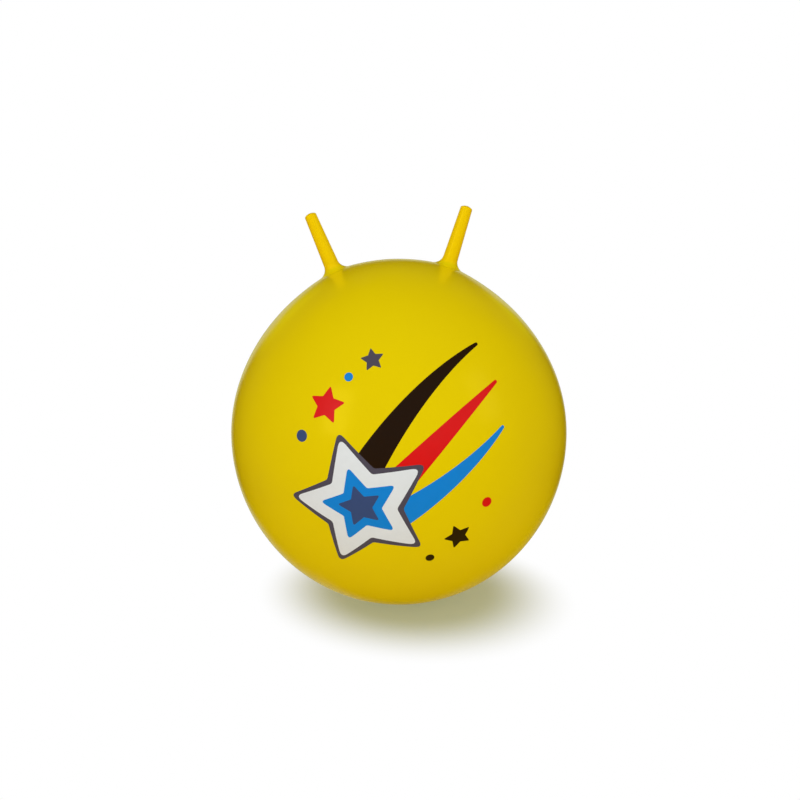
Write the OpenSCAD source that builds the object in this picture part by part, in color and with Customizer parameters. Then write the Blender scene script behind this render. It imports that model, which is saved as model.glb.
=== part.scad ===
// Hopper ball: an inflated ball of soft PVC that a child sits on and bounces with,
// holding the two horns on its top. A push-in plug closes the valve at its back.
// Millimetres. +Z is up, the printed front faces -Y, and the ball stands on z = 0.

/* [Ball] */
// Width of the inflated ball
ball_w = 500; // [450:5:600]
// How much taller than wide the inflated ball is
ball_rise = 16; // [0:1:40]
// Thickness of the ball's stretched wall
wall = 1.2; // [0.8:0.1:2]
// Radius of the patch that the ball's weight presses flat
patch_r = 30; // [15:1:60]

/* [Horns] */
// Length of a horn, from the ball's surface to the top of its tip
horn_len = 90; // [70:1:130]
// Diameter of a horn at the ball's surface, without its flare
horn_root_d = 23; // [19:0.5:30]
// Diameter of a horn at its tip
horn_tip_d = 17.5; // [14:0.5:21]
// Wall thickness of a horn
horn_wall = 3; // [2:0.25:4.5]
// Thickness of a horn's closed end
horn_end_t = 4; // [3:0.5:10]
// Angle by which each horn leans outwards
horn_lean = 20; // [12:0.5:28]
// Radius of the flare at a horn's root
flare_r = 10; // [8:1:24]
// Thickness of the flare at its rim, where it runs out on the ball
flare_rim_t = 0.4; // [0.3:0.1:1]
// Radius of the dome on a horn's end
tip_dome_r = 14; // [11:0.5:40]
// Radius of the rounding between that dome and a horn's side
tip_edge_r = 3; // [1:0.25:5]

/* [Valve] */
// Diameter of the hole in the ball's wall that the valve seat fills
seat_d = 24; // [20:1:34]
// Diameter of the seat's flange, which is bonded inside the wall
flange_d = 40; // [34:1:60]
// Thickness of the seat under the plug's head
seat_floor_t = 1.4; // [1.2:0.1:2.5]
// Diameter of the sleeve that grips the plug's stem
sleeve_d = 14; // [11:0.5:20]
// Length of that sleeve, behind the flange
sleeve_len = 16; // [12:1:30]
// Diameter of the sleeve's bore, which a pump's nozzle fits
bore_d = 8; // [6:0.5:9.5]

/* [Plug] */
// Diameter of the plug's head
head_d = 16; // [12.5:0.5:18]
// Thickness of the plug's head
head_t = 2; // [1.5:0.1:3]
// Radius of the rounding on the head's rim
head_edge_r = 0.6; // [0.3:0.1:0.7]
// Height of the bevel under the head's rim, where a fingernail gets in
nail_bevel = 0.8; // [0.4:0.1:0.8]
// How deep the head sits below the ball's surface
head_sink = 0.4; // [0.3:0.1:1]
// Length of the plug's stem under its head
stem_len = 18; // [14:1:26]
// Number of sealing rings on the stem
ring_count = 3; // [2:1:4]
// Height of one sealing ring
ring_h = 1.6; // [1:0.1:2]
// Depth of the groove between two sealing rings
ring_depth = 0.45; // [0.2:0.05:0.8]
// Length of the stem's tapered end
lead_len = 4; // [2:0.5:5]
// Diameter of the stem's tapered end at its tip
lead_d = 5; // [4:0.25:5.5]

/* [Hidden] */
// Fine enough that a facet of the ball lies within 0.02 mm of the round
$fn = 256;
// Steps in which an outline goes round an arc
arc_steps = 12;

// Clearances: all round the head in its recess, and round the stem in the bore
head_gap = 0.3;
stem_gap = 0.05;
// How far every cut runs past what it cuts
overrun = 1;

pvc_yellow = "#e3cb02";
horn_yellow = "#e6c507";
plug_white = "#f1f1ec";

// The ball is an oval of revolution, half_w by half_h about its centre, and the
// patch is where the floor cuts it
half_w = ball_w / 2;
half_h = (ball_w + ball_rise) / 2;
centre_z = half_h * sqrt(1 - pow(patch_r / half_w, 2));

// A horn stands square on the oval where the oval's own slope is the lean. The ball
// is as good as a sphere of radius local_r there.
lean_reach = norm([half_w * sin(horn_lean), half_h * cos(horn_lean)]);
root_x = pow(half_w, 2) * sin(horn_lean) / lean_reach;
root_z = centre_z + pow(half_h, 2) * cos(horn_lean) / lean_reach;
local_r = pow(half_w, 2) / lean_reach;

// In a horn's outline x is the distance from its axis and y the height over its root.
// Its side is the line of all points whose distance from the root, along a ray at the
// taper's angle, is side_p. The flare's arc touches that line and the top of the rim.
taper_a = atan2((horn_root_d - horn_tip_d) / 2, horn_len);
side_p = horn_root_d / 2 * cos(taper_a);
flare_far = local_r + flare_rim_t + flare_r;
flare_a = asin((side_p + flare_r + local_r * sin(taper_a)) / flare_far) - taper_a;
flare_c = [0, -local_r] + flare_far * ray(90 - flare_a);
foot = [0, -local_r] + (local_r - overrun) * ray(90 - flare_a);

// The tip's rounding touches the side and, from within, the dome
dome_c = [0, horn_len - tip_dome_r];
edge_far = tip_dome_r - tip_edge_r;
edge_a = asin((side_p - tip_edge_r - dome_c.y * sin(taper_a)) / edge_far) - taper_a;
edge_c = dome_c + edge_far * ray(90 - edge_a);

// The bore keeps the wall's thickness from the side and ends in half a sphere
bore_p = side_p - horn_wall;
bore_top = (horn_len - horn_end_t - bore_p) / (1 - sin(taper_a));
bore_top_r = bore_p - bore_top * sin(taper_a);
bore_mouth = -wall - overrun;
bore_mouth_r = (bore_p - bore_mouth * sin(taper_a)) / cos(taper_a);

// Depths of the valve below the ball's surface, measured on its axis
recess_depth = head_t + head_sink;
flange_depth = recess_depth + seat_floor_t;
sleeve_depth = flange_depth + sleeve_len;
ring_d = bore_d - 2 * stem_gap;
groove_d = ring_d - 2 * ring_depth;
ring_pitch = (stem_len - lead_len) / ring_count;

// Unit vector at angle a, from x towards y
function ray(a) = [cos(a), sin(a)];

// Points round an arc, from one angle to another
function arc(centre, r, from_a, to_a) =
    [for (i = [0 : arc_steps]) centre + r * ray(from_a + (to_a - from_a) * i / arc_steps)];

// Half of the ball's oval, drawn in by an inset and cut flat over the floor
module oval_outline(inset) {
    intersection() {
        translate([0, centre_z])
            scale([1, (half_h - inset) / (half_w - inset)])
                circle(half_w - inset);
        translate([0, inset])
            square([ball_w, 2 * ball_w]);
    }
}

// Places its children at the root of a horn, on the right for 1 and the left for -1
module on_horn(side) {
    translate([side * root_x, 0, root_z])
        rotate([0, side * horn_lean, 0])
            children();
}

// Places its children on the valve's axis, with +Z out of the ball and 0 at its surface
module on_valve() {
    translate([0, half_w, centre_z])
        rotate([-90, 0, 0])
            children();
}

// A round plug of the ball's wall and what lies under it, down to a depth
module wall_slug(inset, d, depth) {
    intersection() {
        rotate_extrude()
            oval_outline(inset);
        on_valve()
            translate([0, 0, -depth])
                cylinder(d = d, h = depth + overrun);
    }
}

// Air space of a horn, which opens into the ball through its wall
module horn_bore() {
    rotate_extrude()
        polygon(concat(
            [[0, bore_mouth], [bore_mouth_r, bore_mouth]],
            arc([0, bore_top], bore_top_r, taper_a, 90)
        ));
}

// Horn before it is hollowed: flared root, tapered side, rounded edge and domed end
module horn_form() {
    rotate_extrude()
        polygon(concat(
            [[0, foot.y], foot],
            arc(flare_c, flare_r, 270 - flare_a, 180 + taper_a),
            arc(edge_c, tip_edge_r, taper_a, 90 - edge_a),
            arc(dome_c, tip_dome_r, 90 - edge_a, 90)
        ));
}

// Hollow grip, welded to the ball round the rim of its flare
module horn(side) {
    difference() {
        on_horn(side)
            horn_form();
        on_horn(side)
            horn_bore();
        rotate_extrude()
            oval_outline(0);
    }
}

// Seamless skin of the ball, open only to the horns and at the valve
module ball_shell() {
    color(pvc_yellow)
        difference() {
            rotate_extrude()
                difference() {
                    oval_outline(0);
                    oval_outline(wall);
                }
            on_horn(-1)
                horn_bore();
            on_horn(1)
                horn_bore();
            on_valve()
                translate([0, 0, -flange_depth])
                    cylinder(d = seat_d, h = flange_depth + overrun);
        }
}

module horn_left() {
    color(horn_yellow)
        horn(-1);
}

module horn_right() {
    color(horn_yellow)
        horn(1);
}

// Soft moulding that lines the hole: flush outside, with a flange and a sleeve inside
module valve_seat() {
    color(pvc_yellow)
        difference() {
            union() {
                wall_slug(0, seat_d, flange_depth);
                wall_slug(wall, flange_d, flange_depth);
                on_valve()
                    translate([0, 0, -sleeve_depth])
                        cylinder(d = sleeve_d, h = sleeve_depth - recess_depth);
            }
            on_valve()
                translate([0, 0, -sleeve_depth - overrun])
                    cylinder(d = bore_d, h = sleeve_depth + 2 * overrun);
            on_valve()
                translate([0, 0, -recess_depth])
                    cylinder(d = head_d + 2 * head_gap, h = recess_depth + overrun);
        }
}

// Stem of the plug, with its sealing rings and its tapered end
module plug_stem() {
    translate([0, 0, -stem_len])
        cylinder(d1 = lead_d, d2 = groove_d, h = lead_len);
    translate([0, 0, lead_len - stem_len])
        cylinder(d = groove_d, h = stem_len - lead_len);
    for (i = [1 : ring_count])
        translate([0, 0, -i * ring_pitch])
            cylinder(d1 = groove_d, d2 = ring_d, h = ring_h);
}

// Head of the plug: bevelled under its rim, rounded over it, flat on top
module plug_head() {
    edge_centre = [head_d / 2 - head_edge_r, head_t - head_edge_r];
    rotate_extrude()
        polygon(concat(
            [[0, 0], [head_d / 2 - nail_bevel, 0], [head_d / 2, nail_bevel]],
            arc(edge_centre, head_edge_r, 0, 90),
            [[0, head_t]]
        ));
}

module valve_plug() {
    color(plug_white)
        on_valve()
            translate([0, 0, -recess_depth])
                union() {
                    plug_head();
                    plug_stem();
                }
}

ball_shell();
horn_left();
horn_right();
valve_seat();
valve_plug();
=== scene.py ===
import math

import bpy
from bpy.props import FloatProperty, FloatVectorProperty, IntProperty, PointerProperty
from mathutils import Matrix, Vector, noise
from mathutils.geometry import delaunay_2d_cdt


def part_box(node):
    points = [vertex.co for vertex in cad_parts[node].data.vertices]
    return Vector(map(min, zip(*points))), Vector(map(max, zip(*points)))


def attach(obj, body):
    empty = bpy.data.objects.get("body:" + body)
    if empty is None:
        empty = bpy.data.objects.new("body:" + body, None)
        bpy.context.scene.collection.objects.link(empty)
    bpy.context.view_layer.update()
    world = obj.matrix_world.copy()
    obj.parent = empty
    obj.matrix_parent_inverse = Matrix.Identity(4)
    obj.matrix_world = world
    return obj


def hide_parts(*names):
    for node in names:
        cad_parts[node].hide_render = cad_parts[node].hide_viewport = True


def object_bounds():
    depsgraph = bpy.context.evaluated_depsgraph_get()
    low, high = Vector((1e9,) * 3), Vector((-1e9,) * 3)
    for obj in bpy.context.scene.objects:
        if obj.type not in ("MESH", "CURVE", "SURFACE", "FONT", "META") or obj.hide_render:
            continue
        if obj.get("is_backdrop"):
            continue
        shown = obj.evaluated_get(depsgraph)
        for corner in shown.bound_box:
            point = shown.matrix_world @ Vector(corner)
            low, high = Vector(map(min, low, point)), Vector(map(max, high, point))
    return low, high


bl_info = {
    "name": "Hopper ball",
    "version": (1, 0, 0),
    "blender": (4, 5, 0),
    "location": "3D View > Sidebar > Hopper ball",
    "description": "Skin, horns, print and valve of a hopper ball, with its stage",
    "category": "Object",
}

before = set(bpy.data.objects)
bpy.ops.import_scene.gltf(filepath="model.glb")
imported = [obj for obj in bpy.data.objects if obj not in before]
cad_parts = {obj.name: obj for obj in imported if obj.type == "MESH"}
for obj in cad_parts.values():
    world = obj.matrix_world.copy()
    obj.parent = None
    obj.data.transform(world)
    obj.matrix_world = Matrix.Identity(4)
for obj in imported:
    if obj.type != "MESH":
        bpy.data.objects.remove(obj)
CAD_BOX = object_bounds()

MM = 0.001
# Two points nearer to each other than this, in metres, are one
TINY = 1e-7
# Width and height of the photograph, in pixels
PICTURE = 800


def linear(hex_colour):
    """An sRGB hex colour as linear red, green and blue."""
    parts = [int(hex_colour[i : i + 2], 16) / 255 for i in (0, 2, 4)]
    return [c / 12.92 if c <= 0.04045 else ((c + 0.055) / 1.055) ** 2.4 for c in parts]


# The oval's half-width, its patch and its half-height, read from the frame
SHELL_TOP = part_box("ball_shell")[1]
HALF_W = SHELL_TOP.x
PATCH_R = max(
    math.hypot(v.co.x, v.co.y)
    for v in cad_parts["ball_shell"].data.vertices
    if v.co.z < 0.01 * MM
)
PATCH_DROP = math.sqrt(1 - (PATCH_R / HALF_W) ** 2)
HALF_H = SHELL_TOP.z / (1 + PATCH_DROP)
CENTRE = Vector((0, 0, HALF_H * PATCH_DROP))


def length(name, description, default, **more):
    """A property that holds a real length in metres."""
    return FloatProperty(
        name=name, description=description, default=default, unit="LENGTH", precision=5, **more
    )


def angle(name, description, degrees):
    """A property that holds an angle, given here in degrees."""
    return FloatProperty(
        name=name, description=description, default=math.radians(degrees), subtype="ANGLE"
    )


def number(name, description, default):
    """A property that holds a plain number."""
    return FloatProperty(name=name, description=description, default=default)


def position(name, description, at):
    """A property that holds a place, in metres from the ball's middle."""
    return FloatVectorProperty(
        name=name, description=description, default=at, size=3, subtype="TRANSLATION", unit="LENGTH"
    )


def light(name, description, rgb):
    """A property that holds a light's linear red, green and blue, which may lie over 1."""
    return FloatVectorProperty(name=name, description=description, default=rgb, size=3)


def colour(name, description, hex_colour):
    """A property that holds a colour, given here as an sRGB hex value."""
    return FloatVectorProperty(
        name=name, description=description, default=linear(hex_colour), size=3, subtype="COLOR"
    )


class SkinSettings(bpy.types.PropertyGroup):
    """Sizes and colours of the ball's skin"""

    inset: length("Inset", "How far the skin lies inside the solid, as room for ink", 0.2 * MM)
    wall: length("Wall", "Thickness of the skin", 1.2 * MM)
    ripple: length("Ripple", "Depth of the slow waves that a blown-up skin has", 0.25 * MM)
    ripple_pitch: length("Ripple pitch", "Distance from one slow wave to the next", 110 * MM)
    shoulder: length("Shoulder", "How far the skin draws in halfway up to the horns", 3.8 * MM)
    lean: angle("Lean", "Angle by which each horn leans outwards", 20)
    rise: length("Rise", "How far the skin rises at the middle of a horn's root", 2.2 * MM)
    rise_r: length("Rise radius", "Distance at which a third of that rise is left", 40 * MM)
    line_h: length("Parting line", "Height of the mould's parting line", 0.15 * MM)
    line_w: length("Parting line width", "Width of the mould's parting line", 1.4 * MM)
    facets: IntProperty(name="Facets", description="Facets round the skin", default=360, min=90)
    yellow: colour("Yellow", "Pigment of the ball's PVC", "E9CF02")
    amber: colour("Amber", "Where the skin stretched a little more", "E4C702")


class HornSettings(bpy.types.PropertyGroup):
    """Sizes and colours of the two horns"""

    reach: length("Length", "Length of a horn over the ball's surface", 90 * MM)
    root_r: length("Root radius", "Radius at the ball's surface, without the flare", 11.25 * MM)
    tip_r: length("Tip radius", "Radius at the tip", 8.5 * MM)
    wall: length("Wall", "Thickness of a horn's side", 3 * MM)
    end_t: length("End", "Thickness of a horn's closed end", 4 * MM)
    flare_r: length("Flare radius", "Radius of the flare into the ball", 14 * MM)
    edge_r: length("Edge radius", "Radius of the rounding at the tip", 3 * MM)
    dome_r: length("Dome radius", "Radius of the dome on the end", 14 * MM)
    sunk: length("Sunk", "How far the flare's rim runs under the skin", 0.03 * MM)
    foot: length("Foot", "Height up to which a horn has the skin's colour", 6 * MM)
    foot_fade: length("Foot fade", "Height over which that colour fades", 3.6 * MM)
    # Brighter than the skin's yellow: partly the horns' own more orange PVC, partly painted light,
    # for the light that shines through the thin horns and the ball's light on their roots
    yellow: colour("Yellow", "Pigment of the horns' PVC", "F9D203")
    amber: colour("Amber", "Where the horns' PVC is a little thicker", "F3CA03")


class PrintSettings(bpy.types.PropertyGroup):
    """Inks and film of the printed front"""

    film: length("Film", "Thickness of one coat of ink", 0.045 * MM)
    mesh_step: length("Mesh step", "Size of the facets that carry a coat of ink", 3.5 * MM)
    white: colour("White", "White ink", "E4E9EE")
    blue: colour("Blue", "Blue ink", "0084DC")
    navy: colour("Navy", "Navy ink", "394D7C")
    red: colour("Red", "Red ink", "E00000")
    black: colour("Black", "Black ink", "2A1602")
    grey: colour("Grey", "Dark grey ink", "514B59")


class ValveSettings(bpy.types.PropertyGroup):
    """Sizes and colours of the valve's seat and plug"""

    seat_r: length("Seat radius", "Radius of the seat where it shows", 12 * MM)
    flange_r: length("Flange radius", "Radius of the flange behind the skin", 20 * MM)
    sleeve_r: length("Sleeve radius", "Radius of the sleeve inside", 7 * MM)
    bore_r: length("Bore radius", "Radius of the sleeve's bore", 4 * MM)
    recess_r: length("Recess radius", "Radius of the recess for the head", 8.3 * MM)
    recess_depth: length("Recess depth", "Depth of that recess", 2.4 * MM)
    flange_depth: length("Flange depth", "Depth of the flange's inner face", 3.8 * MM)
    sleeve_depth: length("Sleeve depth", "Depth of the sleeve's end", 19.8 * MM)
    head_r: length("Head radius", "Radius of the plug's head", 8 * MM)
    head_t: length("Head thickness", "Thickness of the plug's head", 2 * MM)
    stem_r: length("Stem radius", "Radius over the plug's sealing rings", 3.95 * MM)
    groove_r: length("Groove radius", "Radius between the sealing rings", 3.5 * MM)
    stem_len: length("Stem length", "Length of the plug's stem", 18 * MM)
    lead_len: length("Lead length", "Length of the stem's tapered end", 4 * MM)
    ring_h: length("Ring height", "Height of one sealing ring", 1.6 * MM)
    rings: IntProperty(name="Rings", description="Sealing rings on the stem", default=3, min=1)
    lead_r: length("Lead radius", "Radius of the stem's tapered end at its tip", 2.5 * MM)
    bevel_w: length("Bevel width", "Width of the bevel under the head's rim", 0.8 * MM)
    bevel_h: length("Bevel height", "Height of that bevel", 0.7 * MM)
    edge_r: length("Edge radius", "Radius of the rounding on the head's rim", 0.6 * MM)
    dish: length("Dish", "How deep the head's top is dished", 0.35 * MM)
    seat_yellow: colour("Seat yellow", "The seat's PVC", "DDC004")
    plug_white: colour("Plug white", "The plug's polythene", "F1F1EA")


class StageSettings(bpy.types.PropertyGroup):
    """Camera, lamps, surroundings and floor"""

    elevation: angle("Elevation", "Height of the camera's view over level", 11)
    roll: angle("Roll", "Turn of the camera about its own view", 2.7)
    distance: length("Distance", "From the camera to the ball's middle", 1.25)
    pixel: length("Pixel", "What one pixel of the picture spans at the ball", 1.519 * MM)
    left: number("Left", "Pixels of the ball's middle left of the picture's centre", 1.1)
    down: number("Down", "Pixels of the ball's middle under the picture's centre", 30.9)
    left_power: number("Left lamp", "Power of the soft box on the left, in watts", 6.2)
    left_at: position("Left lamp's place", "Where that soft box stands", (-1.9, -2.2, 1.3))
    right_power: number("Right lamp", "Power of the soft box on the right, in watts", 2.5)
    right_at: position("Right lamp's place", "Where that soft box stands", (2.5, -1.4, 1.3))
    lamp_w: length("Lamp width", "Width of both soft boxes", 0.9)
    lamp_h: length("Lamp height", "Height of both soft boxes", 1.5)
    ahead: light("Ahead", "Light that comes from the front", (1.42, 1.56, 1.6))
    beside: light("Beside", "Light that comes from the sides", (0.38, 0.25, 0.2))
    behind: light("Behind", "Light that comes from behind", (2.0, 1.85, 1.75))
    dim: light("Dim", "The dim studio, as a reflection shows it", (0.02, 0.01, 0.0))
    paper: light("Paper", "The white paper, as a reflection shows it", (0.54, 0.6, 0.41))
    corner: light("Corner", "Warm light by the paper's upper corners", (0.52, 0.54, 0.0))
    paper_left: angle("Paper left", "How far to the left the paper behind the ball reaches", 29)
    paper_right: angle("Paper right", "How far to the right it reaches", 23.5)
    paper_top: angle("Paper top", "How far up it reaches", 15.5)
    paper_soft: number("Paper soft", "Half the width of its soft edges, on a unit vector", 0.03)
    # Cream, not white: painted warm bounce, which stands in for the ball's yellow light that the
    # floor throws back onto the skin
    sheet: light("Sheet", "The floor's paper between its fibres", (0.9, 0.76, 0.56))
    fibre: light("Fibre", "The floor's paper along its fibres", (0.94, 0.8, 0.58))
    shaded: light("Shaded", "How much of its light the floor shows the camera", (0.22, 0.22, 0.21))
    # A painted glow on the floor, tinted yellow for the ball's light in its shadow
    lifted: light("Lifted", "What the camera sees even in full shadow", (0.295, 0.3, 0.16))
    # Darker and yellow with no blue: the ball's shadow and its yellow light on the floor, painted
    # into its colour
    under: light("Under", "The floor by the ball, as a reflection shows it", (0.44, 0.37, 0.0))
    gleam: light("Gleam", "Yellow light that the ball throws on the floor", (0.15, 0.13, 0.0))
    gleam_near: length("Gleam from", "Distance from which that light fades", 0.2)
    gleam_far: length("Gleam to", "Distance from which nothing is left of it", 0.6)
    fade_near: length("Fade from", "Distance at which the floor starts to fade to white", 0.097)
    fade_far: length("Fade to", "Distance from which the floor is plain white", 0.222)
    fade_right: length("Fade right", "How far right the middle of that fade lies", 0.007)
    fade_turn: angle("Fade turn", "Turn of the oval in which the floor fades", -41)
    fade_long: number("Fade length", "Length of that oval over its width", 1.225)


SETTINGS = {
    "hopper_skin": SkinSettings,
    "hopper_horns": HornSettings,
    "hopper_print": PrintSettings,
    "hopper_valve": ValveSettings,
    "hopper_stage": StageSettings,
}


# Meshes


def piece(name, verts, faces, material, normals=None):
    """A shaded mesh object in the scene."""
    mesh = bpy.data.meshes.new(name)
    mesh.from_pydata(verts, [], faces)
    mesh.validate()
    mesh.shade_smooth()
    if normals:
        mesh.normals_split_custom_set_from_vertices(normals)
    mesh.materials.append(material)
    obj = bpy.data.objects.new(name, mesh)
    bpy.context.scene.collection.objects.link(obj)
    return obj


def arc(centre, r, from_deg, to_deg, steps):
    """Points round an arc, from one angle to another, in degrees."""
    out = []
    for i in range(steps + 1):
        a = math.radians(from_deg + (to_deg - from_deg) * i / steps)
        out.append((centre[0] + r * math.cos(a), centre[1] + r * math.sin(a)))
    return out


def spaced(points, step, closed=False):
    """The same outline with no stretch longer than step."""
    out = []
    ends = points[1:] + points[:1] if closed else points[1:]
    for p, q in zip(points, ends):
        n = max(1, math.ceil(math.dist(p, q) / step))
        out += [(p[0] + (q[0] - p[0]) * i / n, p[1] + (q[1] - p[1]) * i / n) for i in range(n)]
    return out if closed else out + [points[-1]]


def outline_normals(outline, closed):
    """Outward normal at each point of an outline that runs with the solid on its left."""
    n = len(outline)
    sides = []
    for i in range(n if closed else n - 1):
        p, q = outline[i], outline[(i + 1) % n]
        sides.append((q[1] - p[1], p[0] - q[0]))
    out = []
    for i in range(n):
        before = sides[i - 1] if closed or i else (0, 0)
        after = sides[i] if i < len(sides) else (0, 0)
        x, y = before[0] + after[0], before[1] + after[1]
        size = math.hypot(x, y) or 1
        out.append((x / size, y / size))
    return out


def turned(name, outline, place, material, steps=96, closed=False, shape=None):
    """A solid turned about its own Z axis from an outline of (radius, height) points.

    The outline runs with the solid on its left. shape can move a point and its normal.
    """
    normals_2d = outline_normals(outline, closed)
    verts, normals, rows = [], [], []
    turn = place.to_3x3()
    for (r, h), (nr, nh) in zip(outline, normals_2d):
        count = 1 if r < TINY else steps
        rows.append((len(verts), count))
        for i in range(count):
            a = 2 * math.pi * i / steps
            point = Vector((r * math.cos(a), r * math.sin(a), h))
            normal = Vector((nr * math.cos(a), nr * math.sin(a), nh))
            if count == 1:
                normal = Vector((0, 0, math.copysign(1, nh)))
            point, normal = place @ point, turn @ normal
            if shape:
                point, normal = shape(point, normal)
            verts.append(point)
            normals.append(normal.normalized())
    faces = []
    pairs = zip(rows, rows[1:] + rows[:1]) if closed else zip(rows, rows[1:])
    for (low, low_n), (high, high_n) in pairs:
        for i in range(steps):
            j = (i + 1) % steps
            quad = [low + i % low_n, low + j % low_n, high + j % high_n, high + i % high_n]
            faces.append(list(dict.fromkeys(quad)))
    return piece(name, verts, faces, material, normals)


# The ball's surface


def toward(around, off):
    """Unit direction at an angle off the front axis, turned round it from +X to +Z."""
    out = math.sin(off)
    return Vector((out * math.cos(around), -math.cos(off), out * math.sin(around)))


def oval_normal(direction):
    """Outward normal of the oval where a ray from its centre leaves it."""
    flat, tall = HALF_W**2, HALF_H**2
    return Vector((direction.x / flat, direction.y / flat, direction.z / tall)).normalized()


def oval_point(direction, depth=0.0):
    """Where a ray from the centre leaves the plain oval, or a point at a depth under it."""
    sides = (direction.x**2 + direction.y**2) / HALF_W**2
    reach = 1 / math.sqrt(sides + direction.z**2 / HALF_H**2)
    return CENTRE + direction * reach - oval_normal(direction) * depth


def drawn_in(direction, skin):
    """How far the pull of the horns draws the skin in: most halfway between side and top."""
    rise = 2 * math.asin(max(0.0, min(1.0, direction.z)))
    return skin.shoulder * math.sin(rise) ** 2


def horn_root(lean, side):
    """From the oval's centre to the root of a horn, right for 1 and left for -1."""
    reach = math.hypot(HALF_W * math.sin(lean), HALF_H * math.cos(lean))
    return Vector((side * HALF_W**2 * math.sin(lean), 0, HALF_H**2 * math.cos(lean))) / reach


def raised(direction, skin):
    """How far the skin rises to the horns, most at the middle of their roots."""
    off = [HALF_W * direction.angle(horn_root(skin.lean, side)) for side in (-1, 1)]
    return skin.rise * sum(math.exp(-((far / skin.rise_r) ** 2)) for far in off)


def surface_point(direction, skin, lift=0.0):
    """Where a ray from the centre leaves the skin, raised by lift."""
    wave = noise.noise(direction * (HALF_W / skin.ripple_pitch)) - 1
    depth = skin.inset - wave * skin.ripple / 2
    across = HALF_W * direction.y / (skin.line_w / 2)
    lift += skin.line_h * math.exp(-(across**2)) + raised(direction, skin)
    point = oval_point(direction, depth - lift) - direction * drawn_in(direction, skin)
    # Where it rests, the skin is pressed flat and never under the floor
    press = skin.ripple
    if point.z < press:
        point.z = press * math.exp(point.z / press - 1)
    return point


def surface_normal(direction, skin):
    """Outward normal of the skin there, with its waves."""
    along = direction.orthogonal().normalized()
    across = direction.cross(along)
    step = skin.line_w / 4 / HALF_W
    near = [surface_point((direction + way * step).normalized(), skin) for way in (along, across)]
    far = [surface_point((direction - way * step).normalized(), skin) for way in (along, across)]
    return (near[0] - far[0]).cross(near[1] - far[1]).normalized()


# Materials


def add(tree, kind, inputs=None, **settings):
    """Adds a node, whose kind is its type without ShaderNode in front. Settings are its own,
    and inputs are values or other nodes' outputs."""
    made = tree.nodes.new(f"ShaderNode{kind}")
    for key, value in settings.items():
        setattr(made, key, value)
    for key, value in (inputs or {}).items():
        if isinstance(value, bpy.types.NodeSocket):
            tree.links.new(value, made.inputs[key])
        else:
            made.inputs[key].default_value = value
    return made


def new_material(name):
    """An empty material with its node tree."""
    material = bpy.data.materials.new(name)
    material.use_nodes = True
    material.node_tree.nodes.clear()
    return material, material.node_tree


def rgba(rgb):
    """A colour as a node takes it, opaque."""
    return (*rgb, 1.0)


def rotocast_pvc(name, main, warm, foot=None):
    """Soft PVC cast in a turning mould: an even satin with a faint, slow mottle in its
    colour, where the paste ran thicker, and an orange peel from the sand-blasted mould. Its
    gloss has the paste's yellow, and turns white only where the eye grazes the skin.

    A horn has a foot with the skin's colour, under the horn's brighter yellow, which is partly
    painted light: the distances from the ball's middle at which that begins and ends to fade, and
    the skin's colour."""
    material, tree = new_material(name)
    at = add(tree, "TexCoord").outputs["Object"]
    cloud_size, speck_size, peel_size = 70 * MM, 1.5 * MM, 2.6 * MM
    # The mould's blasted texture is about 0.3 mm, and drawn three times as coarse to show
    grain_size = 0.9 * MM
    gloss_tint = (1.0, 0.85, 0.05)
    cloud = add(tree, "TexNoise", {"Vector": at, "Scale": 1 / cloud_size}).outputs["Fac"]
    speck = add(
        tree,
        "TexNoise",
        {"Vector": at, "Scale": 1 / speck_size, "Detail": 1.0},
    ).outputs["Fac"]
    mottle = add(tree, "Math", {0: cloud, 1: speck}, operation="MULTIPLY").outputs[0]
    tint = add(tree, "Mix", {0: mottle, 6: rgba(main), 7: rgba(warm)}, data_type="RGBA").outputs[2]
    if foot:
        fade_from, fade_to, paste = foot
        far = add(tree, "VectorMath", {0: at, 1: CENTRE}, operation="DISTANCE")
        own = add(
            tree,
            "MapRange",
            {"Value": far.outputs["Value"], "From Min": fade_from, "From Max": fade_to},
        ).outputs["Result"]
        tint = add(tree, "Mix", {0: own, 6: rgba(paste), 7: tint}, data_type="RGBA").outputs[2]
    satin = add(
        tree,
        "MapRange",
        {"Value": cloud, "From Min": 0.3, "From Max": 0.7, "To Min": 0.16, "To Max": 0.21},
    )
    peel = add(
        tree,
        "TexNoise",
        {"Vector": at, "Scale": 1 / peel_size, "Detail": 1.0},
    ).outputs["Fac"]
    grain = add(tree, "TexNoise", {"Vector": at, "Scale": 1 / grain_size}).outputs["Fac"]
    bump = add(tree, "Bump", {"Height": peel, "Strength": 0.35, "Distance": 0.03 * MM})
    soft = bump.outputs["Normal"]
    fine = add(
        tree,
        "Bump",
        {"Height": grain, "Strength": 0.25, "Distance": 0.02 * MM, "Normal": soft},
    )
    shader = add(
        tree,
        "BsdfPrincipled",
        {
            "Base Color": tint,
            "Roughness": satin.outputs["Result"],
            "Normal": fine.outputs["Normal"],
            "IOR": 1.53,
            "Specular Tint": rgba(gloss_tint),
        },
    )
    add(tree, "OutputMaterial", {"Surface": shader.outputs[0]})
    return material


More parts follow.
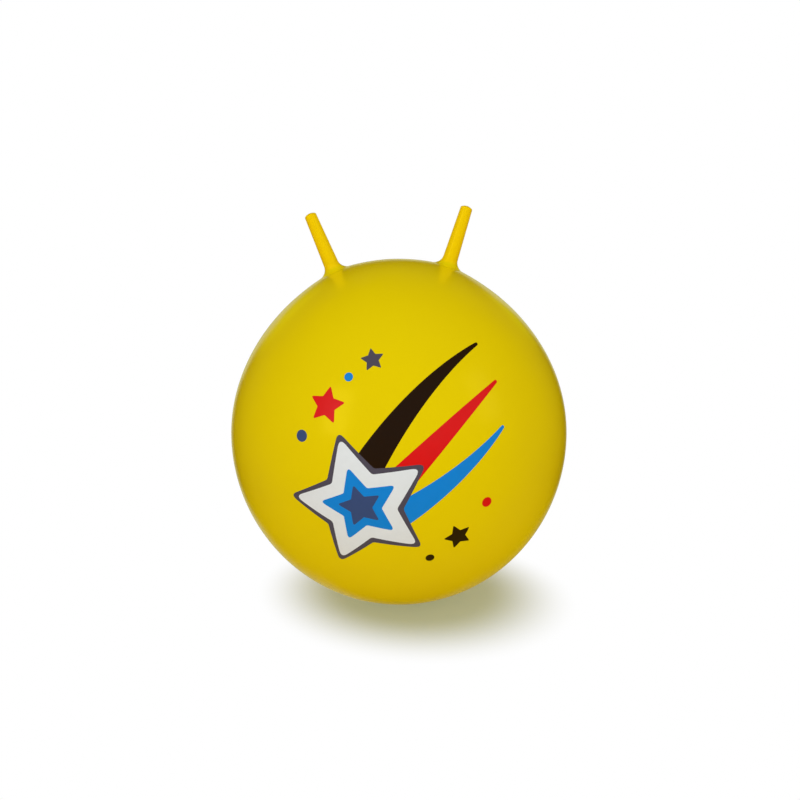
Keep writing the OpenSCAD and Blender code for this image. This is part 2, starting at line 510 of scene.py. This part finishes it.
def moulded_pvc(name, main):
    """Soft PVC pressed in a steel mould: a little duller than the skin, with short flow marks."""
    material, tree = new_material(name)
    at = add(tree, "TexCoord").outputs["Object"]
    mark_size = 5 * MM
    flow = add(
        tree,
        "TexNoise",
        {"Vector": at, "Scale": 1 / mark_size, "Detail": 3.0, "Distortion": 1.5},
    ).outputs["Fac"]
    dark = [c * 0.9 for c in main]
    tint = add(tree, "Mix", {0: flow, 6: rgba(main), 7: rgba(dark)}, data_type="RGBA").outputs[2]
    dull = add(tree, "MapRange", {"Value": flow, "To Min": 0.42, "To Max": 0.58})
    bump = add(tree, "Bump", {"Height": flow, "Strength": 0.3, "Distance": 0.05 * MM})
    shader = add(
        tree,
        "BsdfPrincipled",
        {
            "Base Color": tint,
            "Roughness": dull.outputs["Result"],
            "Normal": bump.outputs["Normal"],
            "IOR": 1.53,
            "Specular IOR Level": 0.3,
        },
    )
    add(tree, "OutputMaterial", {"Surface": shader.outputs[0]})
    return material


def moulded_polythene(name, main):
    """Low-density polythene from an injection mould: waxy white with faint swirls."""
    material, tree = new_material(name)
    at = add(tree, "TexCoord").outputs["Object"]
    swirl_size = 6 * MM
    swirl = add(
        tree,
        "TexNoise",
        {"Vector": at, "Scale": 1 / swirl_size, "Detail": 4.0, "Distortion": 2.0},
    ).outputs["Fac"]
    warm = (main[0], main[1] * 0.98, main[2] * 0.92)
    tint = add(tree, "Mix", {0: swirl, 6: rgba(main), 7: rgba(warm)}, data_type="RGBA").outputs[2]
    waxy = add(tree, "MapRange", {"Value": swirl, "To Min": 0.34, "To Max": 0.5})
    bump = add(tree, "Bump", {"Height": swirl, "Strength": 0.25, "Distance": 0.04 * MM})
    shader = add(
        tree,
        "BsdfPrincipled",
        {
            "Base Color": tint,
            "Roughness": waxy.outputs["Result"],
            "Normal": bump.outputs["Normal"],
            "IOR": 1.51,
            "Subsurface Weight": 0.15,
            "Subsurface Scale": 2 * MM,
        },
    )
    add(tree, "OutputMaterial", {"Surface": shader.outputs[0]})
    return material


def screen_ink(name, main):
    """Vinyl ink pushed through a screen: flat colour, duller than the skin, a touch darker
    where it lies thinner, with the faint weave of the screen."""
    material, tree = new_material(name)
    at = add(tree, "TexCoord").outputs["Object"]
    blot_size = 9 * MM
    # The screen's threads are 0.1 mm apart, and drawn eight times as coarse to show
    weave_size = 0.8 * MM
    blot = add(
        tree,
        "TexNoise",
        {"Vector": at, "Scale": 1 / blot_size, "Detail": 3.0},
    ).outputs["Fac"]
    weave = add(tree, "TexChecker", {"Vector": at, "Scale": 1 / weave_size}).outputs["Fac"]
    thin = [c * 0.93 for c in main]
    tint = add(tree, "Mix", {0: blot, 6: rgba(main), 7: rgba(thin)}, data_type="RGBA").outputs[2]
    gloss = add(tree, "MapRange", {"Value": blot, "To Min": 0.3, "To Max": 0.42})
    bump = add(tree, "Bump", {"Height": weave, "Strength": 0.15, "Distance": 0.01 * MM})
    shader = add(
        tree,
        "BsdfPrincipled",
        {
            "Base Color": tint,
            "Roughness": gloss.outputs["Result"],
            "Normal": bump.outputs["Normal"],
            "IOR": 1.5,
            "Specular IOR Level": 0.2,
        },
    )
    add(tree, "OutputMaterial", {"Surface": shader.outputs[0]})
    return material


# What a reflection in the skin finds behind the ball. Each edge is a direction that points
# inwards over it, its place along that, and half the width over which it fades. The paper
# that lies on the floor is inside all of its edges, in metres. The spots of warm light by
# the upper corners of the paper that stands behind the ball are on a unit vector, as its
# own edges are.
LYING_EDGES = (
    ((0.91, 0.46, 0.0), -0.25, 0.05),
    ((-1.0, 0.43, 0.0), -0.25, 0.05),
    ((0.67, 0.74, 0.0), -0.12, 0.08),
    ((-0.67, 0.74, 0.0), -0.055, 0.135),
    ((0.0, 1.0, 0.0), -0.055, 0.055),
)
CORNER_SPOTS = (
    ((-0.48, 0.81, 0.34), 0.985, 0.015),
    ((0.485, 0.835, 0.25), 0.989, 0.011),
)
# Places from behind the ball to ahead of it, and the share of the side light at each
SIDE_LIGHT = ((0.3, 0.6), (0.5, 1.0))


def inside(tree, at, edges):
    """How far a point or direction lies inside some edges, from 0 to 1."""
    share = None
    for inwards, edge, soft in edges:
        over = add(tree, "VectorMath", {0: at, 1: inwards}, operation="DOT_PRODUCT")
        step = add(
            tree,
            "MapRange",
            {"Value": over.outputs["Value"], "From Min": edge - soft, "From Max": edge + soft},
            interpolation_type="SMOOTHSTEP",
        ).outputs["Result"]
        if share:
            step = add(tree, "Math", {0: share, 1: step}, operation="MINIMUM").outputs[0]
        share = step
    return share


def studio_floor(name, stage):
    """Matt paper. Lamps and skin get its cream bounce, which is painted warm light: the paper is
    white, and its cream stands in for the ball's yellow light on the floor. The camera sees it
    lifted by a painted glow, yellow in the ball's shadow, so that the ball's shadow stays soft, and
    faded to plain white round the ball. A reflection sees the ball's yellow light on it, the dim
    studio further off and, behind the ball, the sheet of white paper that lies there."""
    material, tree = new_material(name)
    at = add(tree, "TexCoord").outputs["Object"]
    fibre_size = 2 * MM
    grain = add(tree, "TexNoise", {"Vector": at, "Scale": 1 / fibre_size})
    # The paper's cream is painted warm bounce from the ball's yellow light
    warm_bounce = add(
        tree,
        "Mix",
        {0: grain.outputs["Fac"], 6: rgba(stage.sheet), 7: rgba(stage.fibre)},
        data_type="RGBA",
    )
    matt = add(tree, "BsdfDiffuse", {"Color": warm_bounce.outputs[2]})

    # How far a point lies from the ball, in the oval in which the floor fades
    round_ball = add(
        tree,
        "Mapping",
        {
            "Vector": at,
            "Location": (stage.fade_right, 0, 0),
            "Rotation": (0, 0, stage.fade_turn),
            "Scale": (stage.fade_long, 1, 1),
        },
        vector_type="TEXTURE",
    )
    off = add(tree, "VectorMath", {0: round_ball.outputs[0]}, operation="LENGTH")

    # What the camera sees
    shaded = add(tree, "BsdfDiffuse", {"Color": rgba(stage.shaded)})
    # A painted glow, tinted yellow for the ball's light in its shadow
    lifted = add(tree, "Emission", {"Color": rgba(stage.lifted)})
    shade = add(tree, "AddShader", {0: shaded.outputs[0], 1: lifted.outputs[0]})
    white = add(tree, "Emission", {"Color": rgba((1, 1, 1))})
    fade = add(
        tree,
        "MapRange",
        {"Value": off.outputs["Value"], "From Min": stage.fade_near, "From Max": stage.fade_far},
        interpolation_type="SMOOTHSTEP",
    ).outputs["Result"]
    seen = add(tree, "MixShader", {0: fade, 1: shade.outputs[0], 2: white.outputs[0]})

    # What a reflection sees
    # Painted shade and yellow light of the ball on the floor near it, as a reflection shows it
    under = add(tree, "BsdfDiffuse", {"Color": rgba(stage.under)})
    gleam = add(tree, "Emission", {"Color": rgba(stage.gleam)})
    near = add(tree, "AddShader", {0: under.outputs[0], 1: gleam.outputs[0]})
    dim = add(tree, "Emission", {"Color": rgba(stage.dim)})
    away = add(
        tree,
        "MapRange",
        {"Value": off.outputs["Value"], "From Min": stage.gleam_near, "From Max": stage.gleam_far},
    ).outputs["Result"]
    bare = add(tree, "MixShader", {0: away, 1: near.outputs[0], 2: dim.outputs[0]})
    paper = add(tree, "Emission", {"Color": rgba(stage.paper)})
    lying = inside(tree, at, LYING_EDGES)
    mirrored = add(tree, "MixShader", {0: lying, 1: bare.outputs[0], 2: paper.outputs[0]})

    path = add(tree, "LightPath")
    other = add(
        tree,
        "MixShader",
        {0: path.outputs["Is Glossy Ray"], 1: matt.outputs[0], 2: mirrored.outputs[0]},
    )
    mixed = add(
        tree,
        "MixShader",
        {0: path.outputs["Is Camera Ray"], 1: other.outputs[0], 2: seen.outputs[0]},
    )
    add(tree, "OutputMaterial", {"Surface": mixed.outputs[0]})
    return material


# Operators


class HOPPER_OT_skin(bpy.types.Operator):
    """Make the blown-up skin of the ball, open at its valve"""

    bl_idname = "hopper.skin"
    bl_label = "Skin"

    def execute(self, context):
        scene = context.scene
        skin, valve = scene.hopper_skin, scene.hopper_valve
        hole = math.pi - math.asin(valve.seat_r / HALF_W)
        step = 2 * math.pi / skin.facets
        # Rows of points lie close together over the parting line, halfway to the back
        middle, ridge = math.pi / 2, skin.line_w / HALF_W
        near_line = [middle + k * ridge / 4 for k in range(-6, 7)]
        off = [i * step for i in range(1, int(hole / step))]
        off = [a for a in off if abs(a - middle) > 2 * ridge] + near_line
        outer = sorted(a for a in off if a < hole - step / 2)
        edge = [hole - skin.wall / HALF_W, hole - skin.wall / 4 / HALF_W]
        rows = [(a, 0.0) for a in outer + edge]
        # The hole's lip, and the inner side with every third row
        rows += [(hole, -skin.wall * share) for share in (0.12, 0.5, 0.88)]
        rows += [(a, -skin.wall) for a in reversed(outer[::3] + edge)]
        verts = [surface_point(toward(0, 0), skin)]
        for a, lift in rows:
            for i in range(skin.facets):
                verts.append(surface_point(toward(i * step, a), skin, lift))
        verts.append(surface_point(toward(0, 0), skin, -skin.wall))
        faces = self.faces(len(rows), skin.facets, len(verts) - 1)
        material = rotocast_pvc("Rotocast soft PVC, ball", skin.yellow, skin.amber)
        ball = piece("ball_skin", verts, faces, material)
        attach(ball, "ball")
        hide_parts("ball_shell")
        return {"FINISHED"}

    def faces(self, rows, n, last):
        """Quads between the rows, with a fan at the front outside and another inside."""
        out = [(0, 1 + i, 1 + (i + 1) % n) for i in range(n)]
        for r in range(rows - 1):
            a = 1 + r * n
            b = a + n
            out += [(a + i, b + i, b + (i + 1) % n, a + (i + 1) % n) for i in range(n)]
        a = last - n
        out += [(last, a + (i + 1) % n, a + i) for i in range(n)]
        return out


def horn_outline(horn, skin, local_r):
    """Outline of a hollow horn, as (radius, height over the root) points, and the radius of
    its flare's rim. Under the root the skin is as good as a sphere of radius local_r."""
    taper = math.atan((horn.root_r - horn.tip_r) / horn.reach)
    side = horn.root_r * math.cos(taper)
    under = local_r - skin.inset - skin.ripple / 2 - horn.sunk
    far = under + horn.flare_r
    flare = math.asin((side + horn.flare_r + local_r * math.sin(taper)) / far) - taper
    flare_at = (far * math.sin(flare), far * math.cos(flare) - local_r)
    dome_at = (0, horn.reach - horn.dome_r)
    edge_far = horn.dome_r - horn.edge_r
    lean = (side - horn.edge_r - dome_at[1] * math.sin(taper)) / edge_far
    edge = math.asin(lean) - taper
    edge_at = (edge_far * math.sin(edge), dome_at[1] + edge_far * math.cos(edge))
    bore = side - horn.wall
    bore_top = (horn.reach - horn.end_t - bore) / (1 - math.sin(taper))
    bore_r = bore - bore_top * math.sin(taper)
    t, f, e = (math.degrees(a) for a in (taper, flare, edge))
    outside = arc(flare_at, horn.flare_r, 270 - f, 180 + t, 28)
    outside += arc(edge_at, horn.edge_r, t, 90 - e, 8)
    outside += arc(dome_at, horn.dome_r, 90 - e, 90, 10)[1:]
    rim_r, rim_h = outside[0]
    # The flare ends in an edge a quarter of the wall high, and the bore opens beside it
    foot = rim_h - horn.wall / 4
    bore_side = arc((0, bore_top), bore_r, 90, t, 8)
    bore_side.append(((bore - foot * math.sin(taper)) / math.cos(taper), foot))
    loop = [(rim_r - horn.wall / 4, foot)] + outside + bore_side
    longest = 2.5 * MM
    return spaced(loop, longest, closed=True), rim_r


class HOPPER_OT_horns(bpy.types.Operator):
    """Make the two hollow horns, each flared into the skin"""

    bl_idname = "hopper.horns"
    bl_label = "Horns"

    def execute(self, context):
        horn, skin = context.scene.hopper_horns, context.scene.hopper_skin
        root = horn_root(skin.lean, 1)
        foot, half_fade = root.length + horn.foot, horn.foot_fade / 2
        foot = (foot - half_fade, foot + half_fade, skin.yellow)
        # The horns' yellow is partly painted light, brighter for the light through the thin horns
        material = rotocast_pvc("Rotocast soft PVC, horn", horn.yellow, horn.amber, foot)
        outline, rim_r = horn_outline(horn, skin, root.x / math.sin(skin.lean))
        for side, name in ((-1, "left"), (1, "right")):
            place = Matrix.Translation(CENTRE + horn_root(skin.lean, side))
            place = place @ Matrix.Rotation(side * skin.lean, 4, "Y")
            shape = self.shape(place, rim_r, horn, skin)
            made = turned(f"horn_{name}_grip", outline, place, material, closed=True, shape=shape)
            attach(made, "ball")
            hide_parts(f"horn_{name}")
        return {"FINISHED"}

    def shape(self, place, rim_r, horn, skin):
        """Seats the foot on the skin with its waves, and raises the parting line."""
        back = place.inverted()
        # Up to this height the horn follows the skin, and within this width its rim does
        follow_h, rim_w = 4 * horn.flare_r, horn.flare_r / 4
        inner_r = horn.tip_r - horn.wall / 2

        def moved(point, normal):
            local = back @ point
            r = math.hypot(local.x, local.y)
            direction = (point - CENTRE).normalized()
            low = max(0.0, min(1.0, 1 - local.z / follow_h))
            rim = min(1.0, max(0.0, 1 - (rim_r - r) / rim_w))
            outward = normal.dot(place.to_3x3() @ Vector((local.x, local.y, 0))) > 0
            if outward and local.z > 0 and r > inner_r:
                ridge = skin.line_h * math.exp(-((local.y / (skin.line_w / 2)) ** 2))
                point = point + normal * ridge * (1 - rim)
            plain = oval_normal(direction)
            # The rim and the edge under it are shaded as the skin is
            if outward or rim > 0.9:
                normal = normal.lerp(plain, rim * rim)
            seat = oval_point(direction, skin.inset + skin.ripple / 2)
            point = point + (surface_point(direction, skin) - seat) * low
            return point, normal + (surface_normal(direction, skin) - plain) * low

        return moved


def rounded(corners, r, steps=6):
    """A closed outline with each corner rounded to radius r."""
    out = []
    n = len(corners)
    for i in range(n):
        before, at, after = (Vector(corners[k % n]) for k in (i - 1, i, i + 1))
        a, b = (before - at).normalized(), (after - at).normalized()
        half = math.acos(max(-1.0, min(1.0, a.dot(b)))) / 2
        back = min(r / math.tan(half), (before - at).length / 2, (after - at).length / 2)
        start, end = at + a * back, at + b * back
        for k in range(steps + 1):
            t = k / steps
            out.append(tuple(start * (1 - t) ** 2 + at * 2 * t * (1 - t) + end * t**2))
    return out


def star(centre, r, turn=0.0, waist=0.5, points=5, grow=0.0, soft=0.07):
    """Outline of a star with soft corners, as (across, up) points."""
    corners = []
    for i in range(2 * points):
        size = (r if i % 2 == 0 else r * waist) + grow
        a = math.radians(90 + turn) + math.pi * i / points
        corners.append((centre[0] + size * math.cos(a), centre[1] + size * math.sin(a)))
    return rounded(corners, r * soft)


def dot(centre, r):
    """Outline of a round dot."""
    return arc(centre, r, 0, 360, 40)[:-1]


def streak(start, bend, end, wide, thin, steps=40):
    """Outline of a curved streak that narrows from wide to thin, round at its thin end."""
    start, bend, end = Vector(start), Vector(bend), Vector(end)
    left, right = [], []
    for i in range(steps + 1):
        t = i / steps
        at = start * (1 - t) ** 2 + bend * 2 * t * (1 - t) + end * t**2
        way = ((bend - start) * (1 - t) + (end - bend) * t).normalized()
        across = Vector((-way.y, way.x)) * (wide + (thin - wide) * t) / 2
        left.append(tuple(at + across))
        right.append(tuple(at - across))
    heading = math.degrees(math.atan2(end.y - bend.y, end.x - bend.x))
    cap = arc(tuple(end), thin / 2, heading - 90, heading + 90, 8)[1:-1]
    return right + cap + list(reversed(left))


class HOPPER_OT_print(bpy.types.Operator):
    """Print the front: a shooting star with its streaks, small stars and dots"""

    bl_idname = "hopper.print"
    bl_label = "Print"

    def coats(self):
        """Each coat's name, its ink, its layer and its outline, in millimetres across and up
        the skin from the middle of the front."""
        head = (-52, -38)
        yield "tail_black", "black", 1, streak((-60, -20), (10, 105), (118, 168), 44, 5)
        yield "tail_red", "red", 1, streak((-35, -40), (52, 52), (138, 112), 42, 5)
        yield "tail_blue", "blue", 1, streak((-22, -62), (72, -8), (140, 50), 38, 5)
        yield "star_shade", "grey", 2, star(head, 92, turn=14, grow=8)
        yield "star_white", "white", 3, star(head, 92, turn=14)
        yield "star_blue", "blue", 4, star(head, 54, turn=14)
        yield "star_navy", "navy", 5, star(head, 30, turn=14)
        yield "small_red", "red", 1, star((-92, 92), 26, turn=-12)
        yield "small_black", "black", 1, star((72, -92), 20, turn=20)
        yield "small_grey", "grey", 1, star((-30, 150), 17, turn=8)
        yield "dot_navy", "navy", 1, dot((-128, 52), 8)
        yield "dot_blue", "blue", 1, dot((-62, 128), 6)
        yield "dot_black", "black", 1, dot((34, -122), 6)
        yield "dot_red", "red", 1, dot((112, -48), 7)

    def execute(self, context):
        ink = context.scene.hopper_print
        skin = context.scene.hopper_skin
        inks = {}
        for name, slot, layer, outline in self.coats():
            if slot not in inks:
                inks[slot] = screen_ink(f"Screen ink, {slot}", getattr(ink, slot))
            coat = self.coat(f"print_{name}", outline, layer, inks[slot], ink, skin)
            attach(coat, "ball")
        return {"FINISHED"}

    def coat(self, name, outline, layer, material, ink, skin):
        """A thin closed film on the skin, its underside just below the skin."""
        rim = spaced([(x * MM, y * MM) for x, y in outline], ink.mesh_step / 2, closed=True)
        flat, triangles = self.filled(rim, ink.mesh_step)
        verts, normals = [], []
        for lift in (layer * ink.film, -ink.film):
            for x, y in flat:
                off, around = math.hypot(x, y) / HALF_W, math.atan2(y, x)
                direction = toward(around, off)
                verts.append(surface_point(direction, skin, lift))
                normals.append(surface_normal(direction, skin))
        n = len(flat)
        faces = [tuple(t) for t in triangles]
        faces += [tuple(n + i for i in reversed(t)) for t in triangles]
        once = {}
        for t in triangles:
            for a, b in zip(t, t[1:] + t[:1]):
                once[(a, b)] = once.get((a, b), 0) + 1
        rim_edges = [(a, b) for a, b in once if (b, a) not in once]
        faces += [(b, a, n + a, n + b) for a, b in rim_edges]
        return piece(name, verts, faces, material, normals)

    def filled(self, rim, step):
        """Points and triangles that fill an outline evenly."""
        low_x, high_x = min(p[0] for p in rim), max(p[0] for p in rim)
        low_y, high_y = min(p[1] for p in rim), max(p[1] for p in rim)
        # Rows of points, as the corners of even triangles, that keep clear of the rim
        row_step, clear = step * 0.87, step * 0.6
        inner = []
        y = low_y
        row = 0
        while y < high_y:
            x = low_x + (row % 2) * step / 2
            while x < high_x:
                if min(math.dist((x, y), p) for p in rim) > clear:
                    inner.append((x, y))
                x += step
            y += row_step
            row += 1
        points = [Vector(p) for p in rim + inner]
        made = delaunay_2d_cdt(points, [], [list(range(len(rim)))], 1, TINY)
        flat = [(p.x, p.y) for p in made[0]]
        triangles = []
        for t in made[2]:
            a, b, c = (made[0][i] for i in t)
            turn = (b - a).cross(c - a)
            triangles.append(list(t) if turn > 0 else list(reversed(t)))
        return flat, triangles


class HOPPER_OT_valve(bpy.types.Operator):
    """Make the valve's soft seat and the plug in it"""

    bl_idname = "hopper.valve"
    bl_label = "Valve"

    def execute(self, context):
        valve, skin = context.scene.hopper_valve, context.scene.hopper_skin
        place = Matrix.Translation((0, HALF_W, CENTRE.z)) @ Matrix.Rotation(-math.pi / 2, 4, "X")
        pvc = moulded_pvc("Moulded soft PVC, seat", valve.seat_yellow)
        seat = turned("valve_seat_ring", self.seat(valve, skin), place, pvc, closed=True)
        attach(seat, "ball")
        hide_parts("valve_seat")
        polythene = moulded_polythene("Moulded polythene, plug", valve.plug_white)
        plug = turned("valve_plug_body", self.plug(valve), place, polythene)
        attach(plug, "plug")
        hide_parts("valve_plug")
        return {"FINISHED"}

    def seat(self, v, skin):
        """Outline of the seat, as (radius, height over the ball's surface) points."""
        # Radius of its roundings, and the longest facet
        soft, longest = 0.5 * MM, 2 * MM

        def level(r):
            """Height of the skin at a distance from the valve's axis."""
            return -skin.inset - r * r / (2 * HALF_W)

        top = level(v.seat_r)
        back = -v.flange_depth
        lip = v.recess_r + soft
        loop = [(v.bore_r, soft - v.sleeve_depth)]
        loop += arc((v.bore_r + soft, soft - v.sleeve_depth), soft, 180, 270, 4)[1:]
        loop += arc((v.sleeve_r - soft, soft - v.sleeve_depth), soft, 270, 360, 4)
        loop += arc((v.sleeve_r + 2 * soft, back - 2 * soft), 2 * soft, 180, 90, 5)
        loop += arc((v.flange_r - soft, back + soft), soft, 270, 360, 4)
        loop += [(v.flange_r, level(v.flange_r) - skin.wall), (v.seat_r, top - skin.wall)]
        loop += arc((v.seat_r - soft, top - soft), soft, 0, 90, 5)
        loop += [(r, level(r)) for r in (v.seat_r - 2 * soft, (v.seat_r + lip) / 2, lip + soft)]
        loop += arc((lip, level(lip) - soft), soft, 90, 180, 5)
        loop += arc((v.recess_r - soft / 2, soft / 2 - v.recess_depth), soft / 2, 0, -90, 4)
        loop += arc((v.bore_r + soft / 2, -v.recess_depth - soft / 2), soft / 2, 90, 180, 4)
        return spaced(loop, longest, closed=True)

    def plug(self, v):
        """Outline of the plug: lead, ringed stem, bevelled head with a dished top."""
        seat = -v.recess_depth
        tip, top = seat - v.stem_len, seat + v.head_t
        # Radius of its roundings, and the longest facet
        soft, longest = 0.35 * MM, 1.2 * MM
        out = [(0, tip), (v.lead_r - soft, tip)]
        out += [(v.lead_r, tip + soft), (v.groove_r, tip + v.lead_len)]
        pitch = (v.stem_len - v.lead_len) / v.rings
        for i in range(v.rings, 0, -1):
            low = seat - i * pitch
            high = low + v.ring_h
            out += [(v.groove_r, low), (v.stem_r - soft / 3, high - soft / 2)]
            out += [(v.stem_r, high - soft / 4), (v.stem_r - soft / 4, high)]
            out += [(v.groove_r + soft / 4, high), (v.groove_r, high + soft / 4)]
        out += [(v.groove_r, seat - soft / 2), (v.groove_r + soft / 2, seat)]
        out += [(v.head_r - v.bevel_w, seat), (v.head_r - soft / 4, seat + v.bevel_h)]
        out += arc((v.head_r - v.edge_r, top - v.edge_r), v.edge_r, -20, 90, 8)
        # How far in from the rim the head dips, and then the radii of the mark that the
        # mould's gate leaves in its middle, in millimetres, each with its share of the dish
        dip = ((1.6, 0), (2.1, 1 / 3), (2.6, 1))
        gate = ((1.9, 1), (1.6, 0.8), (1.4, 0.3), (1.1, 0.15), (0, 0.1))
        out += [(v.head_r - far * MM, top - v.dish * share) for far, share in dip]
        out += [(r * MM, top - v.dish * share) for r, share in gate]
        return spaced(out, longest)


class HOPPER_OT_stage(bpy.types.Operator):
    """Set the floor, the lamps, the surroundings and the camera"""

    bl_idname = "hopper.stage"
    bl_label = "Stage"

    def execute(self, context):
        scene = context.scene
        stage = scene.hopper_stage
        self.floor(stage)
        self.surroundings(scene, stage)
        self.lamp("Left soft box", stage.left_at, stage.left_power, stage)
        self.lamp("Right soft box", stage.right_at, stage.right_power, stage)
        self.camera(scene, stage)
        scene.view_settings.view_transform = "Standard"
        return {"FINISHED"}

    def floor(self, stage):
        """A level floor that runs far past the view."""
        rings = (0.0, 0.4, 1.0, 3.0, 9.0, 30.0)
        paper = studio_floor("Matt paper floor", stage)
        flat = turned("studio_floor", [(r, 0.0) for r in rings], Matrix.Identity(4), paper)
        flat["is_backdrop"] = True

    def surroundings(self, scene, stage):
        """A studio that is bright ahead of the ball and behind it and dim beside it. The
        camera sees plain white. A reflection finds the white paper behind the ball, warm
        light by the upper corners of that and the dim studio elsewhere."""
        world = bpy.data.worlds.new("Studio")
        world.use_nodes = True
        tree = world.node_tree
        tree.nodes.clear()
        way = add(tree, "TexCoord").outputs["Generated"]

        # What lights the ball and the floor
        ahead = (0.0, -math.cos(stage.elevation), math.sin(stage.elevation))
        facing = add(tree, "VectorMath", {0: way, 1: ahead}, operation="DOT_PRODUCT")
        share = add(tree, "MapRange", {"Value": facing.outputs["Value"], "From Min": -1.0})
        lit = add(tree, "ValToRGB", {"Fac": share.outputs["Result"]})
        stops = lit.color_ramp.elements
        stops[0].color, stops[1].color = rgba(stage.behind), rgba(stage.ahead)
        for at, part in SIDE_LIGHT:
            stops.new(at).color = rgba([c * part for c in stage.beside])

        # What a reflection sees
        left, right, top = stage.paper_left, stage.paper_right, stage.paper_top
        edges = (
            ((math.cos(left), math.sin(left), 0.0), 0.0, stage.paper_soft),
            ((-math.cos(right), math.sin(right), 0.0), 0.0, stage.paper_soft),
            ((0.0, math.sin(top), -math.cos(top)), 0.0, stage.paper_soft),
        )
        bare = rgba(stage.dim)
        for spot in CORNER_SPOTS:
            colours = {0: inside(tree, way, (spot,)), 6: bare, 7: rgba(stage.corner)}
            bare = add(tree, "Mix", colours, data_type="RGBA").outputs[2]
        colours = {0: inside(tree, way, edges), 6: bare, 7: rgba(stage.paper)}
        mirrored = add(tree, "Mix", colours, data_type="RGBA").outputs[2]

        path = add(tree, "LightPath")
        sky = add(tree, "Background", {"Color": lit.outputs["Color"]})
        mirror = add(tree, "Background", {"Color": mirrored})
        white = add(tree, "Background", {"Color": rgba((1, 1, 1))})
        other = add(
            tree,
            "MixShader",
            {0: path.outputs["Is Glossy Ray"], 1: sky.outputs[0], 2: mirror.outputs[0]},
        )
        mixed = add(
            tree,
            "MixShader",
            {0: path.outputs["Is Camera Ray"], 1: other.outputs[0], 2: white.outputs[0]},
        )
        add(tree, "OutputWorld", {"Surface": mixed.outputs[0]})
        scene.world = world

    def lamp(self, name, at, power, stage):
        """A rectangular soft box that stands off the ball's middle and faces it."""
        data = bpy.data.lights.new(name, "AREA")
        data.shape = "RECTANGLE"
        data.size, data.size_y = stage.lamp_w, stage.lamp_h
        data.energy = power
        lamp = bpy.data.objects.new(name, data)
        lamp.location = CENTRE + Vector(at)
        lamp.rotation_euler = (-Vector(at)).to_track_quat("-Z", "Y").to_euler()
        bpy.context.scene.collection.objects.link(lamp)

    def camera(self, scene, stage):
        """The photograph's view: its elevation, its roll and its framing."""
        data = bpy.data.cameras.new("Camera")
        data.sensor_width = 36
        data.lens = data.sensor_width * stage.distance / (PICTURE * stage.pixel)
        data.clip_end = 100
        back = Vector((0, -math.cos(stage.elevation), math.sin(stage.elevation)))
        right = Vector((1, 0, 0))
        up = back.cross(right)
        turn = Matrix.Rotation(-stage.roll, 3, back)
        right, up = turn @ right, turn @ up
        aim = CENTRE + (right * stage.left + up * stage.down) * stage.pixel
        at = aim + back * stage.distance
        camera = bpy.data.objects.new("Camera", data)
        axes = Matrix((right, up, back)).transposed().to_4x4()
        camera.matrix_world = Matrix.Translation(at) @ axes
        scene.collection.objects.link(camera)
        scene.camera = camera


class HOPPER_PT_panel(bpy.types.Panel):
    """Lists the pieces of the hopper ball and their settings"""

    bl_idname = "HOPPER_PT_panel"
    bl_label = "Hopper ball"
    bl_space_type = "VIEW_3D"
    bl_region_type = "UI"
    bl_category = "Hopper ball"

    def draw(self, context):
        """Draws a box with a button and the settings for each operator."""
        for (key, group), operator in zip(SETTINGS.items(), OPERATORS):
            box = self.layout.box()
            box.operator(operator.bl_idname)
            for name in group.__annotations__:
                box.prop(getattr(context.scene, key), name)


OPERATORS = [HOPPER_OT_skin, HOPPER_OT_horns, HOPPER_OT_print, HOPPER_OT_valve, HOPPER_OT_stage]
CLASSES = [*SETTINGS.values(), *OPERATORS, HOPPER_PT_panel]


def register():
    """Adds the add-on's classes and its settings to Blender."""
    for cls in CLASSES:
        bpy.utils.register_class(cls)
    for key, group in SETTINGS.items():
        setattr(bpy.types.Scene, key, PointerProperty(type=group))


def unregister():
    """Takes them away again."""
    for key in SETTINGS:
        delattr(bpy.types.Scene, key)
    for cls in reversed(CLASSES):
        bpy.utils.unregister_class(cls)


def main():
    """Makes everything in order."""
    register()
    bpy.ops.hopper.skin()
    bpy.ops.hopper.horns()
    bpy.ops.hopper.print()
    bpy.ops.hopper.valve()
    bpy.ops.hopper.stage()
    bpy.context.view_layer.update()
    boxes = {"cad": CAD_BOX, "visual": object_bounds()}
    {key: [list(corner) for corner in box] for key, box in boxes.items()}


if __name__ == "__main__":
    main()
